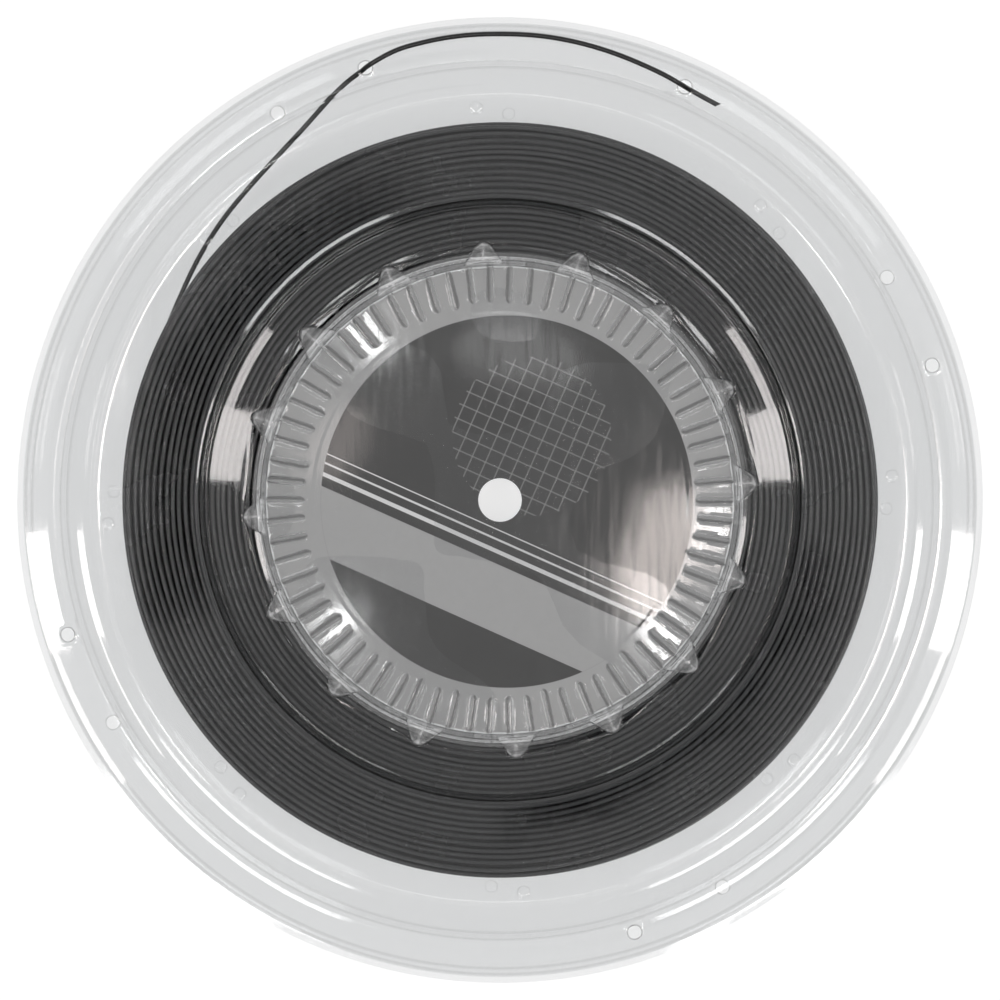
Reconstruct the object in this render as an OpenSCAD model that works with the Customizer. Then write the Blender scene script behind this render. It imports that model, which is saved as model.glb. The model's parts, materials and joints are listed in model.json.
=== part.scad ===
// String reel. Two clear halves, each formed from one thin sheet, are pressed together at
// the hub with a printed card between them. They carry a coil of racket string, whose free
// end is laced out through one hole of the front rim and back in through another.
// Z is the reel's axis. The rear half's crest ring lies on Z = 0.

/* [Reel] */
// Outer diameter of both flanges
flange_d = 241.2; // [232:0.1:256]
// Thickness of the reel over its two crest rings
reel_t = 26; // [24:0.5:32]
// Thickness of the clear sheet
wall = 0.6; // [0.4:0.05:0.8]

/* [Rim] */
// Width of the flat lip at the edge
lip_w = 2.1; // [1:0.1:4]
// Width of the rounded band inside the lip
band_w = 8.8; // [7:0.1:10]
// Height of the band's crown over the line between its two edges
band_crown_h = 0.9; // [0.3:0.1:1.4]
// How much lower the band's outer edge lies than its inner edge
band_drop = 1.6; // [0.5:0.1:3]
// Height of the step from the flange down to the band
band_step = 0.5; // [0.2:0.1:1]
// Diameter of the holes that hold the string's end
rim_hole_d = 3.4; // [3:0.1:4]
// Number of evenly spaced rim holes
rim_hole_n = 4; // [2:1:8]
// Angle of the first rim hole from +X on the front half
rim_hole_a = 17.3; // [0:0.1:90]
// Distance of the rim holes from the band's inner edge
rim_hole_in = 3.3; // [2.6:0.1:4.5]
// Angle of the extra hole that the string's end goes back through
lace_hole_a = 65.9; // [60:0.1:72]

/* [Flange] */
// Width of the fall from the crest ring to the rim band
fall_w = 6.2; // [5:0.1:8]
// Angle of the fall, in degrees
fall_slope = 30; // [20:1:40]
// Width of the flat crest ring that the reel lies on
crest_w = 2.4; // [1:0.1:4]
// How much higher the crest stands than the flange at the cup's mouth
flange_rise = 2; // [1:0.1:3]
// Number of small locating pips on the flange
pip_n = 8; // [4:1:16]
// Distance from the pips to the crest ring
pip_inset = 3; // [2:0.1:6]
// Diameter of each pip
pip_d = 3; // [2:0.1:4]
// Height of each pip
pip_h = 0.2; // [0.1:0.05:0.25]
// Angle of the first pip from +X
pip_a = 3.5; // [0:0.5:45]

/* [Hub] */
// Diameter of the spindle hole
spindle_d = 10.8; // [8:0.1:14]
// Diameter of the flat hub face
hub_d = 118; // [110:0.5:122]
// Height of the step round the hub face
hub_step = 1.8; // [1:0.1:3]
// Slant of that step, measured along the radius
hub_step_run = 1.2; // [0.5:0.1:2]
// Diameter of the cup at its mouth
mouth_d = 150; // [144:0.5:156]
// Lean of the cup's wall, in degrees
cup_draft = 8; // [4:1:15]
// Radius that joins the cup's wall to its floor
cup_fillet = 6; // [3:0.1:7]
// Rise of the cup's floor from the step to the wall
floor_rise = 1.2; // [0.5:0.1:2]
// Radius of the edge at the cup's mouth
mouth_fillet = 2; // [1.2:0.1:2.5]

/* [Ribs and lugs] */
// Number of ribs round the hub face
rib_n = 70; // [48:1:80]
// Length of each rib
rib_l = 9.6; // [7:0.1:12]
// Width of each rib
rib_w = 2; // [1.6:0.1:2.4]
// Height of each rib
rib_h = 0.8; // [0.5:0.1:0.9]
// Distance from the ribs' outer ends to the edge of the hub face
rib_inset = 0.6; // [0.3:0.1:2]
// Number of snap lugs round the hub
lug_n = 16; // [8:1:20]
// Angle of the first lug from +X
lug_a = 4; // [0:0.5:22]
// Length of each lug
lug_l = 6.2; // [4:0.1:6.6]
// Width of each lug at its root
lug_w = 7.4; // [6:0.1:9]
// Width of each lug at its tip
lug_tip_w = 1.6; // [1.2:0.1:2.4]

/* [Card] */
// Distance from the card's edge to the edge of the hub face
card_inset = 0.5; // [0.3:0.1:6]
// Thickness of the card
card_t = 0.4; // [0.2:0.05:0.6]
// Clearance of the card's hole round the spindle hole
card_gap = 0.1; // [0.05:0.05:0.5]

/* [String] */
// Diameter of the string
string_d = 1.25; // [1.1:0.05:1.4]
// Distance from the outside of the coil to the crest ring
coil_room = 5.85; // [4.85:0.05:9]
// Least spacing of the drawn turns
turn_pitch = 1.7; // [1.65:0.05:2.5]
// Clearance between the string and the clear halves
soft_gap = 0.3; // [0.2:0.05:0.5]
// Clearance between the outer turns and the layers under them
turn_gap = 0.1; // [0.05:0.05:0.2]
// Clearance between the innermost turn and the rounded edge at the cup's mouth
mouth_gap = 0.2; // [0.2:0.05:1]

/* [Hidden] */
$fn = 128;
mid_z = reel_t / 2;
flange_r = flange_d / 2;
mouth_r = mouth_d / 2;
string_r = string_d / 2;

// Outline of the front half's outer face, from the middle plane up, as [radius, height].
hub_z = card_t / 2 + wall;
step_r = hub_d / 2;
floor_in_r = step_r + hub_step_run;
floor_z = hub_z + hub_step;
mouth_z = mid_z - flange_rise;
lip_r = flange_r - lip_w;
band_r = lip_r - band_w;
fall_out_r = band_r - band_step / 2;
crest_out_r = fall_out_r - fall_w;
crest_in_r = crest_out_r - crest_w;
rounded_share = 0.6; // of the fall's width
fall_fillet = rounded_share * fall_w / tan(fall_slope / 2) / 2;
fall_z = mid_z - (fall_w - rounded_share * fall_w / 2) * tan(fall_slope);
band_z = fall_z - band_step;
lip_z = band_z - band_drop;
floor_out_z = floor_z + floor_rise;
floor_out_r = mouth_r - (mouth_z - floor_out_z) * tan(cup_draft);
cup_wall_l = (mouth_z - floor_out_z) / cos(cup_draft);
cup_turn = 90 - cup_draft; // no fillet of the cup turns through more
cup_r = min(cup_fillet, 0.97 * cup_wall_l / tan(cup_turn / 2) - mouth_fillet);
crest_fillet = 30;
hub_fillet = 0.4;
step_fillet = wall + hub_fillet;

function unit(v) = v / norm(v);
function turn(v) = [v.y, -v.x];

// Replaces the corner b of a path a, b, c by an arc of radius r in n steps.
function rounded(a, b, c, r, n) =
    let(u = unit(a - b), v = unit(c - b),
        half = acos(u * v) / 2,
        centre = b + unit(u + v) * r / sin(half),
        from = b + u * r / tan(half) - centre,
        to = b + v * r / tan(half) - centre,
        side = sign(from.x * to.y - from.y * to.x),
        sweep = 180 - 2 * half,
        start = atan2(from.y, from.x))
    r == 0 ? [b] : [for (i = [0:n]) centre + r * [cos(start + side * sweep * i / n),
                                                   sin(start + side * sweep * i / n)]];

// Each corner is [radius, height, fillet, steps].
corners = [
    [spindle_d / 2, hub_z, 0, 0],
    [step_r, hub_z, hub_fillet, 3],
    [floor_in_r, floor_z, step_fillet, 3],
    [floor_out_r, floor_out_z, cup_r, 10],
    [mouth_r, mouth_z, mouth_fillet, 6],
    [crest_in_r, mid_z, crest_fillet, 3],
    [crest_out_r + rounded_share * fall_w / 2, mid_z, fall_fillet, 5],
    [fall_out_r, fall_z, 0, 0],
    [band_r, band_z, 0, 0]
];

function corner(i) = [corners[i].x, corners[i].y];

band_steps = 10;
band_arc = [for (i = [1:band_steps])
    let(t = i / band_steps)
    [band_r + band_w * t, band_z - band_drop * t + 4 * band_crown_h * t * (1 - t)]];

face = concat(
    [corner(0)],
    [for (i = [1:len(corners) - 2])
        each rounded(corner(i - 1), corner(i), corner(i + 1), corners[i][2], corners[i][3])],
    [corner(len(corners) - 1)],
    band_arc,
    [[flange_r, lip_z]]
);

// The same outline moved inwards by a depth, square to the face.
function inset(path, depth) =
    [for (i = [0:len(path) - 1])
        let(before = turn(unit(path[max(i, 1)] - path[max(i, 1) - 1])),
            after = turn(unit(path[min(i + 1, len(path) - 1)] - path[min(i, len(path) - 2)])),
            mitre = unit(before + after))
        i == 0 || i == len(path) - 1
            ? [path[i].x, path[i].y - depth]
            : path[i] + mitre * depth / (mitre * before)];

// Height of the flange's cone at a radius and a depth below its outer face.
cone_tan = flange_rise / (crest_in_r - mouth_r);
function cone_z(r, depth = 0) =
    mouth_z + (r - mouth_r) * cone_tan - depth * sqrt(1 + cone_tan * cone_tan);

function reversed(path) = [for (i = [len(path) - 1:-1:0]) path[i]];

// Hub details, measured from the middle plane.
rib_mid_r = step_r - rib_inset - rib_l / 2;
lug_z = floor_z - 0.15 * lug_w; // height of a lug's own axis
hole_r = band_r + rim_hole_in;
pip_r = crest_in_r - pip_inset;
pip_ball_r = (pip_d * pip_d / 4 + pip_h * pip_h) / (2 * pip_h);

// The rear half is the front half turned over about a line at this angle from +X.
turn_over_angle = 23.6;

// Winding. Turns spiral outwards on the front face, then wind back round the outside.
LOOP = 24; // rings in one turn
turn_r = crest_in_r - coil_room - string_r;
chord_sag = turn_r * (1 - cos(180 / LOOP));
turn_depth = wall + soft_gap + string_r;
face_in_r = mouth_r + turn_depth + mouth_gap;
face_turns = floor((turn_r - face_in_r) / turn_pitch);
face_pitch = (turn_r - face_in_r) / face_turns;
corner_extra = (sqrt(2) - 1) * turn_pitch; // keeps the gap where the turns pass the corner

// Layers under the outer turns.
core_in_r = floor_in_r + wall + soft_gap;
core_r = turn_r - chord_sag - string_r - turn_gap;
core_path = inset(face, wall + soft_gap);
shelf_depth = wall + soft_gap + string_d + turn_gap;
shelf_in_r = face_in_r - string_r;

// The free end, from the coil's last turn to its cut tip. The first stretch lies between
// the flanges, the middle one outside the front rim, and the tip between them again.
TAIL = [
    [-87.6, 35.1, 2.1], [-84.0, 44.4, 2.1], [-81.2, 51.0, 2.2], [-78.0, 57.9, 3.0],
    [-74.2, 64.6, 5.0], [-69.8, 70.9, 7.8], [-65.0, 76.6, 10.8], [-60.0, 82.0, 13.6],
    [-54.6, 87.6, 16.0], [-49.4, 93.0, 17.9], [-44.6, 98.2, 19.3], [-40.8, 102.2, 20.2],
    [-38.4, 104.4, 20.7], [-36.7, 105.7, 21.1], [-35.3, 106.7, 21.8], [-34.4, 107.3, 22.6],
    [-33.6, 107.9, 23.5], [-32.7, 108.5, 24.3], [-31.5, 109.2, 24.9], [-29.6, 110.3, 25.2],
    [-26.0, 112.1, 25.2], [-19.0, 114.2, 24.8], [-10.0, 115.8, 24.5], [0, 116.3, 24.3],
    [10.0, 115.8, 24.4], [19.6, 114.1, 24.6], [28.6, 111.4, 24.8], [36.4, 108.2, 25.1],
    [41.2, 105.9, 25.2], [43.4, 104.7, 25.0], [44.8, 103.9, 24.4], [45.8, 103.4, 23.6],
    [46.7, 102.9, 22.6], [47.7, 102.4, 21.8], [49.0, 101.7, 21.2], [51.2, 100.5, 20.9],
    [55.0, 98.5, 20.7]
];
TAIL_STEP = 3.2; // greatest spacing of the rings along the free end

front_z = mid_z + cone_z(turn_r, turn_depth);
outside_drop = front_z - corner_extra - TAIL[0].z;
outside_turns = floor(outside_drop / turn_pitch);
outside_pitch = outside_drop / outside_turns;
end_a = atan2(TAIL[0].y, TAIL[0].x);
ring_n = LOOP * (face_turns + outside_turns);

module ring_of(n, first_a = 0)
    for (i = [0:n - 1])
        rotate([0, 0, first_a + 360 / n * i]) children();

// Outline of one rib on the hub face: two arcs of n steps that meet in points.
function lens(l, w, n) =
    let(r = (l * l + w * w) / (4 * w), half = asin(l / 2 / r))
    concat(
        [for (i = [0:n]) let(a = half * (2 * i / n - 1)) [r * sin(a), w / 2 - r + r * cos(a)]],
        [for (i = [1:n - 1]) let(a = half * (1 - 2 * i / n)) [r * sin(a), r - w / 2 - r * cos(a)]]
    );

module rib_ring(l, w, from_z, to_z)
    translate([0, 0, from_z])
        linear_extrude(to_z - from_z)
            ring_of(rib_n) translate([rib_mid_r, 0]) polygon(lens(l, w, 4));

module ribs() rib_ring(rib_l, rib_w, hub_z - wall / 2, hub_z + rib_h);

module rib_grooves() rib_ring(rib_l - wall, rib_w - wall, 0, hub_z + rib_h - wall);

module lugs()
    intersection() {
        ring_of(lug_n, lug_a)
            translate([floor_in_r, 0, lug_z])
                rotate([0, 90, 0]) cylinder(d1 = lug_w, d2 = lug_tip_w, h = lug_l);
        above_floor();
    }

// The room of the cup above the middle of its floor's sheet.
module above_floor()
    rotate_extrude()
        polygon([[step_r, floor_z - wall / 2], [floor_out_r, floor_out_z - wall / 2],
                 [floor_out_r, mouth_z], [step_r, mouth_z]]);

module pips() {
    pip_z = cone_z(pip_r) + pip_h;
    intersection() {
        ring_of(pip_n, pip_a) translate([pip_r, 0, pip_z - pip_ball_r]) sphere(r = pip_ball_r);
        translate([0, 0, pip_z - pip_h - wall / 2]) cylinder(r = crest_in_r, h = wall);
    }
}

module rim_hole() translate([hole_r, 0, lip_z - wall]) cylinder(d = rim_hole_d, h = mid_z);

// One formed half above the middle plane.
module formed_half()
    difference() {
        union() {
            rotate_extrude() polygon(concat(face, reversed(inset(face, wall))));
            ribs();
            lugs();
            pips();
        }
        rib_grooves();
        ring_of(rim_hole_n, rim_hole_a) rim_hole();
    }

module front_flange()
    color([0.88, 0.9, 0.91, 0.4])
        translate([0, 0, mid_z])
            difference() {
                formed_half();
                rotate([0, 0, lace_hole_a]) rim_hole();
            }

module rear_flange()
    color([0.84, 0.86, 0.88, 0.4])
        translate([0, 0, mid_z])
            rotate([0, 0, turn_over_angle]) rotate([180, 0, -turn_over_angle]) formed_half();

module label_card()
    color([0.62, 0.62, 0.62])
        translate([0, 0, mid_z - card_t / 2])
            difference() {
                cylinder(r = step_r - card_inset, h = card_t);
                translate([0, 0, -card_t])
                    cylinder(d = spindle_d + 2 * card_gap, h = 3 * card_t);
            }

module string_core() {
    rear_side = concat(
        [[core_in_r, lookup(core_in_r, core_path)]],
        [for (p = core_path) if (p.x > core_in_r && p.x < core_r) p],
        [[core_r, cone_z(core_r, wall + soft_gap)]]
    );
    front_side = concat(
        [[core_in_r, lookup(core_in_r, core_path)]],
        [for (p = core_path)
            if (p.x > core_in_r && p.x < shelf_in_r && p.y < cone_z(shelf_in_r, shelf_depth)) p],
        [for (r = [shelf_in_r, core_r]) [r, cone_z(r, shelf_depth)]]
    );
    color([0.13, 0.13, 0.14])
        translate([0, 0, mid_z])
            rotate_extrude()
                polygon(concat(front_side, [for (p = reversed(rear_side)) [p.x, -p.y]]));
}

// Centre of the winding at ring k, which counts from the inner end of the face spiral.
function turn_point(k) =
    let(loops = k / LOOP,
        a = end_a + 360 * (ring_n - k) / LOOP,
        on_face = loops <= face_turns,
        r = on_face ? face_in_r + face_pitch * loops : turn_r,
        z = on_face ? mid_z + cone_z(r, turn_depth)
                    : front_z - corner_extra - outside_pitch * (loops - face_turns))
    [r * cos(a), r * sin(a), z];

function distance_to_stretch(p, a, b) =
    let(t = (p - a) * (b - a) / ((b - a) * (b - a)))
    norm(p - a - (b - a) * max(0, min(1, t)));

// Least gap between a point of the winding and the turns before and after its own.
function least_gap(path) =
    min([for (i = [0:len(path) - LOOP])
        for (j = [i + LOOP - 3:min(i + 2 * LOOP + 3, len(path) - 2)])
            distance_to_stretch(path[i], path[j], path[j + 1])]) - string_d;

module string_turns() {
    turns = [for (k = [0:ring_n - 1]) turn_point(k)];
    start = turns[0] - unit(turns[0] - turn_point(-1)) * string_d;
    end = TAIL[0] - unit(TAIL[1] - TAIL[0]) * string_d;
    path = concat([start], turns, [end, TAIL[0]]);
    echo(least_gap_of_the_winding = least_gap(path), turns = face_turns + outside_turns);
    color([0.2, 0.2, 0.22]) tube(path, string_d, 6);
}

// Direction of a route at its point i, for a curve that passes through all its points.
function heading(p, i) =
    i == 0 ? unit(p[1] - p[0])
    : i == len(p) - 1 ? unit(p[i] - p[i - 1])
    : let(before = norm(p[i] - p[i - 1]), after = norm(p[i + 1] - p[i]))
      ((p[i] - p[i - 1]) * after / before + (p[i + 1] - p[i]) * before / after)
      / (before + after);

function between(p, i, t) =
    let(l = norm(p[i + 1] - p[i]), u = heading(p, i) * l, v = heading(p, i + 1) * l)
    p[i] * (2 * t ^ 3 - 3 * t ^ 2 + 1) + u * (t ^ 3 - 2 * t ^ 2 + t)
    + p[i + 1] * (3 * t ^ 2 - 2 * t ^ 3) + v * (t ^ 3 - t ^ 2);

function smooth(p, step) =
    concat([for (i = [0:len(p) - 2])
        let(n = ceil(norm(p[i + 1] - p[i]) / step))
        for (j = [0:n - 1]) between(p, i, j / n)], [p[len(p) - 1]]);

module string_tail() {
    path = smooth(TAIL, TAIL_STEP);
    echo(rings_of_the_free_end = len(path),
         length = sum([for (i = [1:len(path) - 1]) norm(path[i] - path[i - 1])]));
    color([0.14, 0.14, 0.15]) tube(path, string_d, 8);
}

function sum(values) = values * [for (v = values) 1];

// A closed tube of round section along a path that is nowhere upright.
module tube(path, d, sides) {
    last = len(path) - 1;
    points = [for (i = [0:last])
        let(ahead = unit(path[min(i + 1, last)] - path[max(i - 1, 0)]),
            across = unit(cross(ahead, [0, 0, 1])),
            up = cross(across, ahead))
        for (j = [0:sides - 1])
            path[i] + d / 2 * (cos(360 * j / sides) * across + sin(360 * j / sides) * up)];
    skin = [for (i = [0:last - 1]) for (j = [0:sides - 1])
        let(a = i * sides + j, b = i * sides + (j + 1) % sides)
        each [[a, b, b + sides], [a, b + sides, a + sides]]];
    end = last * sides;
    caps = [for (j = [1:sides - 2]) each [[0, j + 1, j], [end, end + j, end + j + 1]]];
    polyhedron(points, concat(skin, caps));
}

front_flange();
rear_flange();
label_card();
string_core();
string_turns();
string_tail();
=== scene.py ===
"""The looks of a string reel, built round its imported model. Shapes are worked out in millimetres."""
import json
import math
import random

import bpy
import numpy as np
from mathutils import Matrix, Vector, noise


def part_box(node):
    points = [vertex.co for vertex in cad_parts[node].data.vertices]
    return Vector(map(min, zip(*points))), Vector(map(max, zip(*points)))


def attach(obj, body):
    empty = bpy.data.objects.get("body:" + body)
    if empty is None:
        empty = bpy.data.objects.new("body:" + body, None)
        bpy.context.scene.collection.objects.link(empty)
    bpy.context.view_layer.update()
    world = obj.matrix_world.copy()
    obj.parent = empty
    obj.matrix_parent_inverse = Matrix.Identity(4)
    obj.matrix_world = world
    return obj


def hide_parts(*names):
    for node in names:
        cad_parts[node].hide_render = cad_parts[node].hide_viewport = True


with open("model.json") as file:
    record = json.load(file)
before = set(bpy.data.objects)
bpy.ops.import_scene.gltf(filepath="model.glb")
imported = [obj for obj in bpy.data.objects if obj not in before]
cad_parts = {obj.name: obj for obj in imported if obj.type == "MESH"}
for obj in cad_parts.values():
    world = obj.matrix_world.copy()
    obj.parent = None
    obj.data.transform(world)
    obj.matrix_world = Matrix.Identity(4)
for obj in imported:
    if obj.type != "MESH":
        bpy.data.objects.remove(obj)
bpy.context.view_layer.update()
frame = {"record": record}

MM = 0.001
BODY = "root"
TAU = 2 * math.pi


def in_mm(corner):
    """A corner of one of the frame's boxes, which are in metres."""
    return [c / MM for c in corner]


# ---------------------------------------- sizes, from the frame
flange_hi = in_mm(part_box("front_flange")[1])
card_lo, card_hi = map(in_mm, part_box("label_card"))
mounts = {m["name"]: m for m in frame["record"]["mounts"]}

MID_Z = flange_hi[2] / 2
FLANGE_R = flange_hi[0]
CARD_R = card_hi[0]
CARD_T = card_hi[2] - card_lo[2]
SPINDLE_R = mounts["spindle_bore"]["dims"]["r_mm"]

# ---------------------------------------- sizes of the clear halves
WALL = 0.6

# The rim from its edge inwards: flat lip, crowned band, small step, slope and crest ring.
LIP_W = 2.1
BAND_W = 8.8
BAND_CROWN_H = 0.35
BAND_DROP = 1.0
BAND_STEP = 0.3
STEP_RUN = 1.0
STEP_FILLET = 1.2
FALL_W = 6.2
FALL_SLOPE = math.radians(30)
ROUNDED_SHARE = 0.8  # of the slope that its round inner edge takes
CREST_W = 2.4
CREST_FILLET = 30.0
FLANGE_RISE = 2.0  # from the cup's mouth to the crest ring

# The hub's face, the step up from it, and the collar that goes round it.
HUB_R = CARD_R + 0.5
HUB_FILLET = 0.4
HUB_STEP = 1.8
HUB_STEP_RUN = 1.2
COLLAR_W = 1.9
COLLAR_H = 0.27
COLLAR_FILLET = 0.75
FOOT_FILLET = 0.5

# The cup's floor: its height over the middle plane at the collar, its slope, a crease that wavers in
# and out round the lugs, the dish where it turns up, and a bead at the foot of the wall.
FLOOR_START = 2.25
FLOOR_SLOPE = math.radians(5)
CREASE_R = 64.3
CREASE_W = 0.4
CREASE_H = 0.07
CREASE_WAVE = 0.9
DISH_R = 67.4
DISH_FILLET = 36.0
DISH_SLOPE = math.radians(20.5)
BEAD_W = 0.9
BEAD_H = 0.16
BEAD_FILLET = 1.3

# The cup's wall, which leans, from its foot to the mouth.
MOUTH_R = 75.0
MOUTH_FILLET = 0.9
CUP_DRAFT = math.radians(8)
FLOOR_RISE = 1.2
WALL_FILLET = 0.4

RIPPLE = 0.011  # unevenness of the sheet
HUB_RIPPLE = 0.004

RIB_N = 70
RIB_L = 9.6
RIB_W = 2.1
RIB_H = 0.8
RIB_INSET = 0.2  # from the hub's edge
RIB_TIP_L = 1.6
RIB_TAPER = 0.15  # share of the width that is gone at the collar
RIB_ROUNDNESS = 0.8  # power of the cross section, which is a parabola at 1
RIB_FADE = 1.6  # a rib gets lower where its half width times this is under 1
RIB_MARGIN = 0.6  # by which a shifted rib may reach past the ribs' ends

LUG_N = 16
LUG_A = math.radians(4)
LUG_L = 6.8
LUG_W = 3.9
LUG_H = 2.6
LUG_ROOT = 0.5  # how far inside the hub's edge a lug starts
LUG_GABLE_L = 1.3  # and the length in which it rises there

PIP_N = 8
PIP_D = 3.0
PIP_H = 0.08
PIP_A = math.radians(3.5)
PIP_INSET = 3.0  # from the crest ring
PIP_SHOULDER = 0.3  # share of the radius in which a pip rises
HOLE_N = 4
HOLE_D = 3.4
HOLE_IN = 3.3  # from the band's inner edge to a hole's middle
HOLE_A = math.radians(17.3)
LACE_A = math.radians(65.9)
HOLE_LIP_H = 0.2
HOLE_LIP_FROM = 0.8  # share of the way to the hole at which its edge starts to rise

# How far painted shade darkens the sheet's colour at the ribs, the collar's step, the holes' and pips'
# edges and the rim's two lines, and how far it is whitened: by forming on the lugs and collar, and as a
# painted highlight on the ribs' edges.
RIB_PAINTED_SHADE = 0.6
COLLAR_PAINTED_SHADE = 0.5
HOLE_PAINTED_SHADE = 0.4
PIP_PAINTED_SHADE = 0.15
RIM_PAINTED_SHADE = 0.22
RIB_PAINTED_HIGHLIGHT = 0.5
LUG_HAZE = 0.36
COLLAR_HAZE = 0.09

TURN_OVER_A = math.radians(23.6)  # azimuth of the axis on which the rear half is turned over

# ---------------------------------------- sizes of the string
STRING_D = 1.25
STRING_R = STRING_D / 2
SOFT_GAP = 0.3  # between the sheet and the string
COIL_R = 94.3
PITCH = 1.56  # from turn to turn

# The free end's route, from the coil to its cut tip.
TAIL = [
    (-87.6, 35.1, 2.1), (-84.0, 44.4, 2.1), (-81.2, 51.0, 2.2), (-78.0, 57.9, 3.0),
    (-74.2, 64.6, 5.0), (-69.8, 70.9, 7.8), (-65.0, 76.6, 10.8), (-60.0, 82.0, 13.6),
    (-54.6, 87.6, 16.0), (-49.4, 93.0, 17.9), (-44.6, 98.2, 19.3), (-40.8, 102.2, 20.2),
    (-38.4, 104.4, 20.7), (-36.7, 105.7, 21.1), (-35.3, 106.7, 21.8), (-34.4, 107.3, 22.6),
    (-33.6, 107.9, 23.5), (-32.7, 108.5, 24.3), (-31.5, 109.2, 24.9), (-29.6, 110.3, 25.2),
    (-26.0, 112.1, 25.2), (-19.0, 114.2, 24.8), (-10.0, 115.8, 24.5), (0.0, 116.3, 24.3),
    (10.0, 115.8, 24.4), (19.6, 114.1, 24.6), (28.6, 111.4, 24.8), (36.4, 108.2, 25.1),
    (41.2, 105.9, 25.2), (43.4, 104.7, 25.0), (44.8, 103.9, 24.4), (45.8, 103.4, 23.6),
    (46.7, 102.9, 22.6), (47.7, 102.4, 21.8), (49.0, 101.7, 21.2), (51.2, 100.5, 20.9),
    (55.0, 98.5, 20.7),
]


# ======================================== mesh helpers
HAZE_AND_PAINTED_LIGHT = "haze"  # the attribute that says where the sheet is whitened, by forming or as a painted highlight, or darkened with painted shade if below 0


class Shape:
    """Collects the points, in millimetres, and the faces of one mesh."""

    def __init__(self):
        self.points = []
        self.faces = []
        self.haze = []

    def add(self, points, haze=None):
        """Adds a ring or another row of points, and returns their numbers."""
        start = len(self.points)
        self.points.extend(map(tuple, points))
        self.haze.extend(np.zeros(len(points)) if haze is None else haze)
        return list(range(start, len(self.points)))

    def join(self, a, b, flip=False):
        """Closes the gap between two rings, the second of as many, twice or half the points."""
        if len(a) > len(b):
            a, b, flip = b, a, not flip
        n = len(a)
        for i in range(n):
            j = (i + 1) % n
            if len(b) == n:
                made = [(a[i], b[i], b[j], a[j])]
            else:
                p, q, r = b[2 * i], b[2 * i + 1], b[(2 * i + 2) % len(b)]
                made = [(a[i], p, q), (a[i], q, a[j]), (a[j], q, r)]
            self.faces.extend(face[::-1] if flip else face for face in made)

    def build(self, name, material, sharp=35):
        """The finished object, with edges over a number of degrees kept sharp."""
        mesh = bpy.data.meshes.new(name)
        mesh.from_pydata([tuple(c * MM for c in p) for p in self.points], [], self.faces)
        mesh.validate()
        mesh.shade_smooth()
        mesh.set_sharp_from_angle(angle=math.radians(sharp))
        mesh.materials.append(material)
        if any(self.haze):
            mesh.attributes.new(HAZE_AND_PAINTED_LIGHT, "FLOAT", "POINT").data.foreach_set("value", self.haze)
        return new_object(name, mesh)


def new_object(name, data):
    """An object in the scene, with its mesh, camera or lamp."""
    obj = bpy.data.objects.new(name, data)
    bpy.context.scene.collection.objects.link(obj)
    return obj


def unit(v):
    """The direction of a vector, with length 1."""
    return v / np.linalg.norm(v)


def rounded(corners, step):
    """A path in the plane through corners (x, y, radius), with arcs of points about step apart."""
    path = []
    for i, (x, y, radius) in enumerate(corners):
        b = np.array([x, y], float)
        if not radius or i in (0, len(corners) - 1):
            path.append(b)
            continue
        u = unit(np.array(corners[i - 1][:2], float) - b)
        v = unit(np.array(corners[i + 1][:2], float) - b)
        half = math.acos(np.clip(u @ v, -1, 1)) / 2
        centre = b + unit(u + v) * radius / math.sin(half)
        start, end = b + u * radius / math.tan(half) - centre, b + v * radius / math.tan(half) - centre
        side = math.copysign(1, start[0] * end[1] - start[1] * end[0])
        sweep = math.pi - 2 * half
        first = math.atan2(start[1], start[0])
        n = max(3, math.ceil(radius * sweep / step))
        for k in range(n + 1):
            a = first + side * sweep * k / n
            path.append(centre + radius * np.array([math.cos(a), math.sin(a)]))
    return np.array(path)


def resampled(path, spacing):
    """Adds points so that two neighbours are no further apart than spacing(x) at their x."""
    out = [path[0]]
    for a, b in zip(path[:-1], path[1:]):
        length = np.linalg.norm(b - a)
        done = spacing(a[0])
        while done < length * 0.99:
            out.append(a + (b - a) * done / length)
            done += spacing(out[-1][0])
        out.append(b)
    return np.array(out)


def inset(path, depth):
    """The path moved to its right by a depth, its two ends straight down."""
    step = np.diff(path, axis=0)
    side = np.stack([step[:, 1], -step[:, 0]], 1) / np.linalg.norm(step, axis=1)[:, None]
    before, after = np.vstack([side[:1], side]), np.vstack([side, side[-1:]])
    mitre = before + after
    mitre /= np.linalg.norm(mitre, axis=1)[:, None]
    out = path + mitre * depth / np.sum(mitre * before, axis=1)[:, None]
    for end in (0, -1):
        out[end] = path[end] - (0, depth)
    return out


def add_circle(shape, r, z, n):
    """A ring of n points round the reel's axis, at a height over the middle plane."""
    a = np.arange(n) * TAU / n
    return shape.add(np.stack([r * np.cos(a), r * np.sin(a), np.full(n, MID_Z + z)], 1))


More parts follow.
